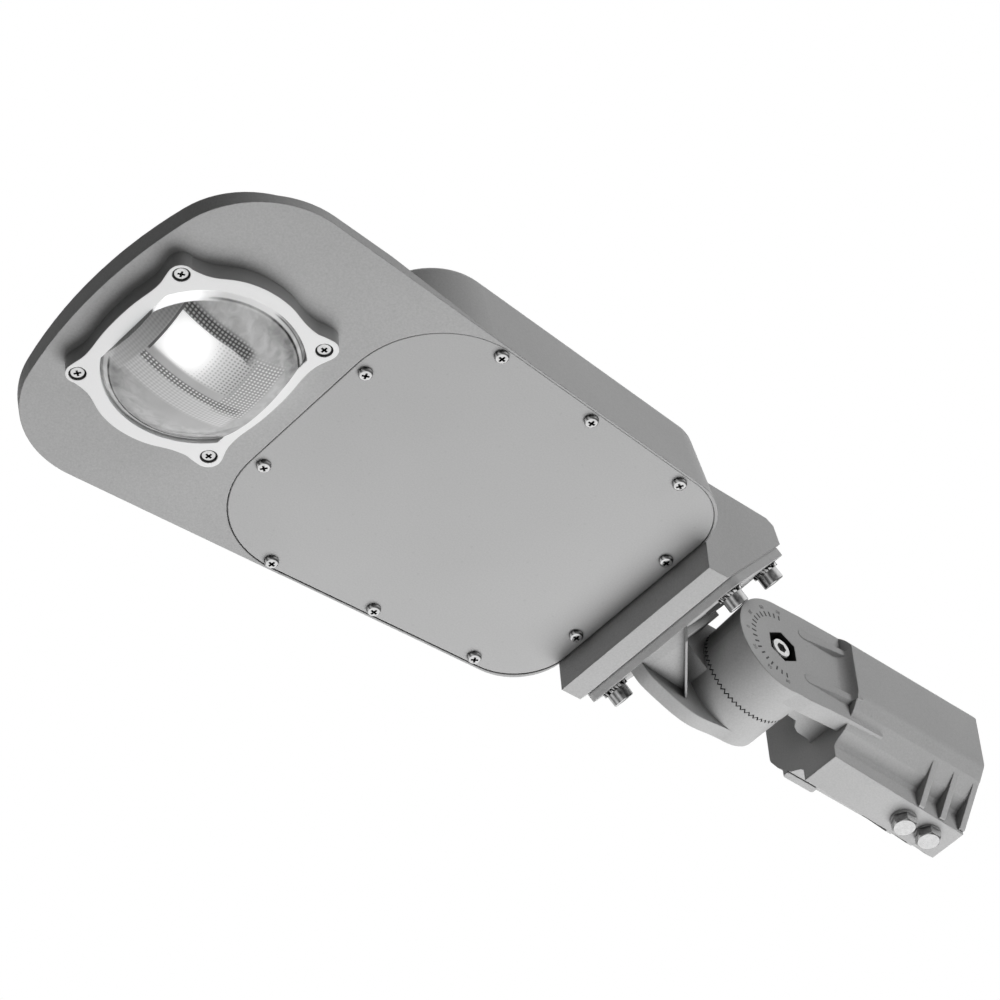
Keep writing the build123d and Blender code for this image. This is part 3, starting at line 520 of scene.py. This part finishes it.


# rim: painted white gleam at the nose corner, a painted pale line and a painted dark line round the rest
def lensRim(tree, tone, u, v, reach):
    gleam, thin, edge = lens["gleam"], lens["thin"], lens["edge"]
    corner = times(tree, ramp(tree, u, *gleam["u"]), ramp(tree, v, *gleam["v"]))
    shine = times(tree, ramp(tree, reach, *gleam["reach"]), corner)
    tone = blend(tree, shine, tone, gleam["tone"])
    pale = times(tree, ramp(tree, reach, *thin["reach"]), window(tree, u, *thin["u"]))
    pale = times(tree, pale, ramp(tree, v, *thin["v"]))
    tone = blend(tree, pale, tone, thin["tone"])
    dark = times(tree, window(tree, reach, *edge["reach"]), ramp(tree, v, *edge["v"]))
    dark = times(tree, dark, opposite(tree, maths(tree, "MAXIMUM", shine, pale)))
    return blend(tree, dark, tone, edge["tone"]), shine


# painted glow for light led through the lens: it gathers over the lamp and at the rim
def gatheredLight(tree, u, v, reach, overLamp, shine):
    light = lens["light"]
    fromLamp = distance(tree, maths(tree, "SUBTRACT", u, light["u"]), maths(tree, "SUBTRACT", v, light["v"]))
    blob = times(tree, ramp(tree, fromLamp, *light["spread"]), overLamp)
    paintedGlowAmount = timesPlus(tree, blob, light["lamp"], times(tree, shine, light["gleam"]))
    return timesPlus(tree, ramp(tree, reach, *light["rimReach"]), light["rim"], paintedGlowAmount)


# light spreads inside the lens, so its tone hardly follows the slope of the surface
def leanedNormal(tree, amount):
    here = addNode(tree, "ShaderNodeNewGeometry").outputs["Normal"]
    turned = dict(vector_type="NORMAL", convert_from="OBJECT", convert_to="WORLD")
    down = addNode(tree, "ShaderNodeVectorTransform", {0: (0, 0, -1)}, **turned).outputs[0]
    lean = addNode(tree, "ShaderNodeMix", {0: amount, 4: here, 5: down}, data_type="VECTOR").outputs[1]
    return addNode(tree, "ShaderNodeVectorMath", {0: lean}, operation="NORMALIZE").outputs[0]


# glass whose colour and glow are painted light and shade
def lensGlass(name):
    made, tree, shader, place = startMaterial(name)
    x, y, z = axes(tree, place)
    u = timesPlus(tree, x, 1 / mm, -lens["centre"])
    v = times(tree, y, 1 / mm)
    reach = distance(tree, u, v)
    tone = smoothFlanks(tree, place, u, v, reach)
    tone, overLamp, dots = prisms(tree, tone, u, v)
    tone, shine = lensRim(tree, tone, u, v, reach)
    paintedGlowAmount = gatheredLight(tree, u, v, reach, overLamp, shine)
    feed(tree, shader.inputs["Base Color"], grey(tree, tone))
    # the lens glows with painted light
    feed(tree, shader.inputs["Emission Color"], grey(tree, times(tree, tone, paintedGlowAmount)))
    feed(tree, shader.inputs["Roughness"], mapRange(tree, dots, 0, 1, 0.30, 0.42))
    feed(tree, shader.inputs["Normal"], leanedNormal(tree, 0.72))
    for socket, value in (
        ("Emission Strength", 1.0), ("Specular IOR Level", 0.1), ("Transmission Weight", 0.15), ("IOR", 1.47),
        ("Coat Weight", 1.0), ("Coat Roughness", 0.04), ("Coat IOR", 1.45),
    ):
        shader.inputs[socket].default_value = value
    clear = addNode(tree, "ShaderNodeBsdfTransparent", {"Color": (0.85, 0.86, 0.86, 1)}).outputs[0]
    shadow = addNode(tree, "ShaderNodeLightPath").outputs["Is Shadow Ray"]
    mixShaders(tree, shadow, shader.outputs[0], clear, tree.nodes["Material Output"])
    arrange(tree)
    return made


slotMaterial = {slot: paintedMetal(slot, **values) for slot, values in paint.items()}
slotMaterial.update({slot: brightSteel(slot, **values) for slot, values in steel.items()})
slotMaterial["lens_frame_casting"] = frameMetal("lensFrameMetal")
slotMaterial["gasket"] = plainMatt("gasketRubber", (0.26, 0.26, 0.26), 0.7)
slotMaterial["grommet"] = plainMatt("grommetRubber", (0.05, 0.05, 0.05), 0.65)
slotMaterial["lens_glass"] = lensGlass("lensGlass")
slotMaterial["reflector_metal"] = plainMatt("reflectorMetal", (0.85, 0.85, 0.86), 0.15, 200, 0.05, 1.0)
slotMaterial["led_board"] = plainMatt("ledBoard", (0.86, 0.85, 0.78), 0.5)
slotMaterial["holder_plastic"] = plainMatt("holderPlastic", (0.88, 0.88, 0.88), 0.45)
slotMaterial["driver_case"] = plainMatt("driverCase", (0.7, 0.7, 0.71), 0.35, 500, 0.1, 0.9)
slotMaterial["terminal_plastic"] = plainMatt("terminalPlastic", (0.8, 0.8, 0.76), 0.5)
slotMaterial["protector_case"] = plainMatt("protectorCase", (0.1, 0.1, 0.11), 0.45)

for part in frame["record"]["subparts"]:
    target = cadNode[part["node"]]
    target.data.materials.clear()
    target.data.materials.append(slotMaterial[part["material_slot"]])
print("finishes on the", len(cadNode), "nodes")


# meshes and repeats

def newObject(name, mesh):
    made = bpy.data.objects.new(name, mesh)
    bpy.context.scene.collection.objects.link(made)
    return made


def meshFrom(shape, name):
    mesh = bpy.data.meshes.new(name)
    shape.to_mesh(mesh)
    shape.free()
    return mesh


# the object as it looks with its modifiers, as a plain mesh
def plainMesh(made):
    return bpy.data.meshes.new_from_object(made.evaluated_get(bpy.context.evaluated_depsgraph_get()))


# a closed turned form about z, from (radius, height) pairs
def revolve(profile, segments=40):
    shape = bmesh.new()
    angles = [2 * math.pi * i / segments for i in range(segments)]
    rings = []
    for r, z in profile:
        if r < 1e-9:
            rings.append([shape.verts.new((0, 0, z))] * segments)
        else:
            rings.append([shape.verts.new((r * math.cos(a), r * math.sin(a), z)) for a in angles])
    for low, high in zip(rings, rings[1:]):
        for i in range(segments):
            j = (i + 1) % segments
            corners = []
            for v in (low[i], low[j], high[j], high[i]):
                if v not in corners:
                    corners.append(v)
            if len(corners) > 2:
                shape.faces.new(corners)
    bmesh.ops.recalc_face_normals(shape, faces=shape.faces)
    return shape


# pan head screws, in millimetres: recess is half the cross's length, slot the width of its arms
panHead = dict(radius=4.0, height=2.9, recess=2.5, slot=1.45, depth=2.1, shank=1.55, length=12.0)
frameHead = dict(radius=4.4, height=2.7, recess=2.4, slot=1.4, depth=2.0, shank=1.95, length=14.0)


# a tool for the cross recess: two wedges that narrow towards their upper end
def crossTool(head):
    h, w = head["height"] * mm, head["slot"] * mm / 2
    q, d = head["recess"] * mm, head["depth"] * mm
    shape = bmesh.new()
    for turn in (0, 90):
        made = bmesh.ops.create_cube(shape, size=1)["verts"]
        for v in made:
            low = v.co.z < 0
            x = v.co.x * 2 * q * (1.0 if low else 0.45)
            y = v.co.y * 2 * w * (1.0 if low else 0.6)
            v.co = Vector((x, y, -h * 1.3 if low else -h + d))
        spin = Matrix.Rotation(math.radians(turn), 3, "Z")
        bmesh.ops.rotate(shape, verts=made, cent=(0, 0, 0), matrix=spin)
    return shape


# pan head screw with a cross recess, head under z = 0, shank above
def crossScrew(name, head):
    r, h = head["radius"] * mm, head["height"] * mm
    shank, length = head["shank"] * mm, head["length"] * mm
    profile = [(0, -h), (r * 0.45, -h)]
    for i in range(1, 9):
        a = math.radians(90 * i / 8)
        profile.append((r * (0.5 + 0.5 * math.sin(a)), -h * (0.38 + 0.62 * math.cos(a) ** 0.8)))
    profile += [(r, -h * 0.1), (r * 0.97, 0), (shank, 0), (shank, length), (0, (head["length"] + 1) * mm)]
    body = newObject(name, meshFrom(revolve(profile), name))
    knife = newObject(name + "Tool", meshFrom(crossTool(head), name + "Tool"))
    cut = body.modifiers.new("cross", "BOOLEAN")
    cut.object = knife
    cut.operation = "DIFFERENCE"
    cut.solver = "EXACT"
    cut.use_self = True
    result = plainMesh(body)
    body.modifiers.clear()
    body.data = result
    bpy.data.objects.remove(knife)
    return body


# puts one unit on every point, each turned about its own axis by chance
def makeSpreadTree():
    takes = {
        "Geometry": "Geometry", "Unit": "Object", "Lean": "Rotation",
        "Turn": "Float", "Seed": "Int", "Finish": "Material",
    }
    tree, start, end = newGroup("spreadUnits", "GeometryNodeTree", takes, {"Geometry": "Geometry"})
    unit = addNode(tree, "GeometryNodeObjectInfo", {"Object": start["Unit"]}).outputs["Geometry"]
    inputs = {"Points": start["Geometry"], "Instance": unit, "Rotation": start["Lean"]}
    put = addNode(tree, "GeometryNodeInstanceOnPoints", inputs).outputs["Instances"]
    inputs = {3: start["Turn"], "Seed": start["Seed"]}  # input 3 is the largest number drawn
    chance = addNode(tree, "FunctionNodeRandomValue", inputs, data_type="FLOAT").outputs[1]
    about = addNode(tree, "ShaderNodeCombineXYZ", {"Z": chance}).outputs[0]
    spin = addNode(tree, "GeometryNodeRotateInstances", {"Instances": put, "Rotation": about})
    real = addNode(tree, "GeometryNodeRealizeInstances", {0: spin.outputs["Instances"]}).outputs[0]
    coat = addNode(tree, "GeometryNodeSetMaterial", {"Geometry": real, "Material": start["Finish"]})
    feed(tree, end["Geometry"], coat.outputs[0])
    arrange(tree)
    return tree


spreadUnits = makeSpreadTree()


# runs a tree on an object and keeps the result as a plain mesh
def settle(made, name, tree, values):
    step = made.modifiers.new(tree.name, "NODES")
    step.node_group = tree
    for item in tree.interface.items_tree:
        if item.item_type == "SOCKET" and item.in_out == "INPUT" and item.name in values:
            step[item.identifier] = values[item.name]
    bpy.context.view_layer.update()
    result = plainMesh(made)
    made.modifiers.clear()
    made.data = result
    made.name = name
    result.name = name
    return made


def smoothByAngle(made, degrees=35):
    made.data.shade_smooth()
    made.data.set_sharp_from_angle(angle=math.radians(degrees))


# screws: their places on one half of the head, which the other half mirrors, and where they seat
coverScrews = dict(
    places=((462.8, 41.9), (414.5, 94.5), (347.0, 89.1), (278.7, 83.9), (245.2, 36.7)), seat=-4.0,
)
frameScrews = dict(places=((585.7, 42.9), (495.7, 47.5)), seat=-11.2)
for name, screws, head, node in (
    ("coverScrewHeads", coverScrews, panHead, "cover_screws"),
    ("frameScrewHeads", frameScrews, frameHead, "lens_frame_screws"),
):
    unit = crossScrew(name + "Unit", head)
    points = [(x * mm, s * y * mm, screws["seat"] * mm) for x, y in screws["places"] for s in (1, -1)]
    mesh = bpy.data.meshes.new(name)
    mesh.from_pydata(points, [], [])
    values = dict(Unit=unit, Lean=(0, 0, 0), Turn=math.pi / 2, Seed=7, Finish=slotMaterial["stainless"])
    heads = settle(newObject(name, mesh), name, spreadUnits, values)
    bpy.data.objects.remove(unit)
    smoothByAngle(heads)
    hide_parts(node)
    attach(heads, "head")
print("cross screws made")


# bead of sealant that fills the joint between the bracket's plate and the neck, in millimetres in
# the plate's own plane, which leans by the tilt; low and high are its ends up the slope
bead = dict(
    origin=(223.0, -22.7), tilt=49.5, half=59.2, low=5.3, high=70.7,
    corner=4.7, width=2.0, bottom=0.01, top=0.58, tone=0.40,
)


def roundedLoop(halfWidth, low, high, radius, steps=6):
    corners = ((halfWidth, high, 0), (-halfWidth, high, 90), (-halfWidth, low, 180), (halfWidth, low, 270))
    points = []
    for cornerY, cornerS, first in corners:
        midY = cornerY - math.copysign(radius, cornerY)
        midS = cornerS - (radius if cornerS == high else -radius)
        for i in range(steps + 1):
            a = math.radians(first + 90 * i / steps)
            points.append((midY + radius * math.cos(a), midS + radius * math.sin(a)))
    return points


def makeBead():
    tilt, w = math.radians(bead["tilt"]), bead["width"]
    outer = roundedLoop(bead["half"], bead["low"], bead["high"], bead["corner"])
    inner = roundedLoop(bead["half"] - w, bead["low"] + w, bead["high"] - w, bead["corner"] - w)
    shape = bmesh.new()
    rings = []
    bottom, top = bead["bottom"], bead["top"]
    for loop, n in ((outer, bottom), (outer, top), (inner, top), (inner, bottom)):
        ring = []
        for y, s in loop:
            x = bead["origin"][0] - s * math.cos(tilt) - n * math.sin(tilt)
            z = bead["origin"][1] + s * math.sin(tilt) - n * math.cos(tilt)
            ring.append(shape.verts.new((x * mm, y * mm, z * mm)))
        rings.append(ring)
    for first, second in zip(rings, rings[1:] + rings[:1]):
        for i in range(len(first)):
            j = (i + 1) % len(first)
            shape.faces.new((first[i], first[j], second[j], second[i]))
    bmesh.ops.recalc_face_normals(shape, faces=shape.faces)
    mesh = meshFrom(shape, "flangeBead")
    mesh.materials.append(plainMatt("sealant", (bead["tone"], bead["tone"], bead["tone"]), 0.6))
    return newObject("flangeBead", mesh)


flangeBead = makeBead()
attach(flangeBead, "head")
print("bead made")


# dial on the clamp's face, in millimetres: a tick every ten degrees over half a turn, and numbers
dial = dict(
    centre=(148.5, 27.5, -5.5), radius=22.0, count=19, step=10.0, length=3.3, width=1.0, height=0.18,
    tickTone=0.045, numberTone=0.24, numberSize=3.4, numberOut=4.4, numberDepth=0.09, numberLift=0.05,
)


def makeDialTree():
    takes = {
        "Geometry": "Geometry", "Count": "Int", "Step": "Float", "Start": "Float", "Radius": "Float",
        "Tick Size": "Vector", "Centre": "Vector", "Finish": "Material",
    }
    tree, start, end = newGroup("dialTicks", "GeometryNodeTree", takes, {"Geometry": "Geometry"})
    points = addNode(tree, "GeometryNodePoints", {"Count": start["Count"]}).outputs[0]
    index = addNode(tree, "GeometryNodeInputIndex").outputs[0]
    angle = timesPlus(tree, index, start["Step"], start["Start"])
    tick = addNode(tree, "GeometryNodeMeshCube", {"Size": start["Tick Size"]}).outputs["Mesh"]
    out = addNode(tree, "ShaderNodeCombineXYZ", {"X": start["Radius"]}).outputs[0]
    move = addNode(tree, "GeometryNodeTransform", {"Geometry": tick, "Translation": out}).outputs[0]
    about = addNode(tree, "ShaderNodeCombineXYZ", {"Y": times(tree, angle, -1.0)}).outputs[0]
    inputs = {"Points": points, "Instance": move, "Rotation": about}
    put = addNode(tree, "GeometryNodeInstanceOnPoints", inputs).outputs["Instances"]
    real = addNode(tree, "GeometryNodeRealizeInstances", {0: put}).outputs[0]
    inputs = {"Geometry": real, "Translation": start["Centre"]}
    place = addNode(tree, "GeometryNodeTransform", inputs).outputs[0]
    coat = addNode(tree, "GeometryNodeSetMaterial", {"Geometry": place, "Material": start["Finish"]})
    feed(tree, end["Geometry"], coat.outputs[0])
    arrange(tree)
    return tree


dialInk = plainMatt("dialMarks", (dial["tickTone"],) * 3, 0.6)
numberInk = plainMatt("numberMarks", (dial["numberTone"],) * 3, 0.6)
centre = [c * mm for c in dial["centre"]]
ticks = settle(newObject("dialTicks", bpy.data.meshes.new("dialTicks")), "dialTicks", makeDialTree(), {
    "Count": dial["count"],
    "Step": math.radians(dial["step"]),
    "Start": math.radians(-90.0),
    "Radius": dial["radius"] * mm,
    "Tick Size": (dial["length"] * mm, dial["height"] * mm, dial["width"] * mm),
    "Centre": centre,
    "Finish": dialInk,
})
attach(ticks, "clamp")


# a number on the +Y face, its head away from the pivot
def makeNumber(name, degrees):
    words = bpy.data.curves.new("dialNumber", "FONT")
    words.body = str(abs(degrees))
    words.size = dial["numberSize"] * mm
    words.align_x = "CENTER"
    words.align_y = "CENTER"
    words.extrude = dial["numberDepth"] * mm
    holder = newObject("dialNumber", words)
    mesh = plainMesh(holder)
    a = math.radians(degrees)
    r = (dial["radius"] + dial["numberOut"]) * mm
    right = Vector((math.sin(a), 0, -math.cos(a)))
    up = Vector((math.cos(a), 0, math.sin(a)))
    mesh.transform(Matrix((
        (right.x, up.x, 0, centre[0] + r * math.cos(a)),
        (0, 0, 1, centre[1] + dial["numberLift"] * mm),
        (right.z, up.z, 0, centre[2] + r * math.sin(a)),
        (0, 0, 0, 1),
    )))
    mesh.materials.clear()
    mesh.materials.append(numberInk)
    bpy.data.objects.remove(holder)
    return newObject(name, mesh)


for i, degrees in enumerate(range(-90, 91, 30)):
    number = makeNumber("dialNumber_%02d" % i, degrees)
    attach(number, "clamp")
print("dial made")


# studio: floor, soft light, white behind, and the camera; each lamp shines from a direction and a
# distance, in metres, and gives a facing surface the level, where 1 shows a colour as it is written
studio = dict(
    aim=(0.33, 0, 0), floor=-2.6, floorSize=16.0, floorTone=0.62, floorGlow=0.85, world=0.07,
    lamps=dict(
        keyLight=dict(towards=(-0.50, -0.30, -0.80), distance=1.6, size=1.5, level=1.26),
        sideLight=dict(towards=(-0.45, 1.0, 0.12), distance=1.8, size=1.1, level=0.53),
        topLight=dict(towards=(-0.1, -0.35, 1.0), distance=2.4, size=1.6, level=0.5),
    ),
)


def softLight(name, towards, distance, size, level):
    lamp = bpy.data.lights.new(name, "AREA")
    lamp.size = size
    lamp.energy = level * math.pi ** 2 * distance ** 2
    away = Vector(towards).normalized()
    holder = newObject(name, lamp)
    holder.location = Vector(studio["aim"]) + away * distance
    holder.rotation_mode = "QUATERNION"
    holder.rotation_quaternion = away.to_track_quat("Z", "Y")
    holder.visible_camera = False
    holder.visible_glossy = False


for name, lamp in studio["lamps"].items():
    softLight(name, **lamp)


# 1 for what the camera sees straight, in metal or through glass
def seenRays(tree):
    ray = addNode(tree, "ShaderNodeLightPath").outputs
    seen = maths(tree, "MAXIMUM", ray["Is Camera Ray"], ray["Is Glossy Ray"])
    return maths(tree, "MAXIMUM", seen, ray["Is Transmission Ray"])


world = bpy.data.worlds.new("studio")
bpy.context.scene.world = world
world.use_nodes = True
sky = world.node_tree
back = sky.nodes["Background"]
back.inputs["Color"].default_value = (1, 1, 1, 1)
back.inputs["Strength"].default_value = studio["world"]
white = addNode(sky, "ShaderNodeBackground", {"Color": (1, 1, 1, 1), "Strength": 1.0})
mixShaders(sky, seenRays(sky), back.outputs[0], white.outputs[0], sky.nodes["World Output"])
arrange(sky)

paleFloor = bpy.data.materials.new("paleFloor")
paleFloor.use_nodes = True
ground = paleFloor.node_tree
dull = ground.nodes["Principled BSDF"]
dull.inputs["Base Color"].default_value = (*[studio["floorTone"]] * 3, 1)
dull.inputs["Roughness"].default_value = 0.9
glow = addNode(ground, "ShaderNodeEmission", {"Color": (1, 1, 1, 1), "Strength": 1.0})
seen = times(ground, seenRays(ground), studio["floorGlow"])
mixShaders(ground, seen, dull.outputs[0], glow.outputs[0], ground.nodes["Material Output"])
arrange(ground)

half = studio["floorSize"] / 2
corners = [(x * half, y * half, studio["floor"]) for x, y in ((-1, -1), (1, -1), (1, 1), (-1, 1))]
floorMesh = bpy.data.meshes.new("floor")
floorMesh.from_pydata(corners, [], [(0, 1, 2, 3)])
floorMesh.materials.append(paleFloor)
newObject("floor", floorMesh)

# the camera stands below the lamp, beyond its nose, as in the photograph
shot = dict(place=(1.5688, 1.2448, -1.7869), azimuth=135.167, elevation=-45.803, roll=-5.123, lens=167.32)
lensData = bpy.data.cameras.new("camera")
lensData.lens = shot["lens"]
lensData.sensor_width = 36
lensData.clip_start = 0.05
camera = newObject("camera", lensData)
a, e, t = (math.radians(shot[k]) for k in ("azimuth", "elevation", "roll"))
away = Vector((math.sin(a) * math.cos(e), -math.cos(a) * math.cos(e), math.sin(e)))
right = Vector((0, 0, 1)).cross(away).normalized()
up = away.cross(right)
axisX = math.cos(t) * right + math.sin(t) * up
axisY = -math.sin(t) * right + math.cos(t) * up
camera.matrix_world = Matrix((
    (axisX.x, axisY.x, away.x, shot["place"][0]),
    (axisX.y, axisY.y, away.y, shot["place"][1]),
    (axisX.z, axisY.z, away.z, shot["place"][2]),
    (0, 0, 0, 1),
))
bpy.context.scene.camera = camera
bpy.context.scene.view_settings.view_transform = "Standard"
print("studio and camera set")
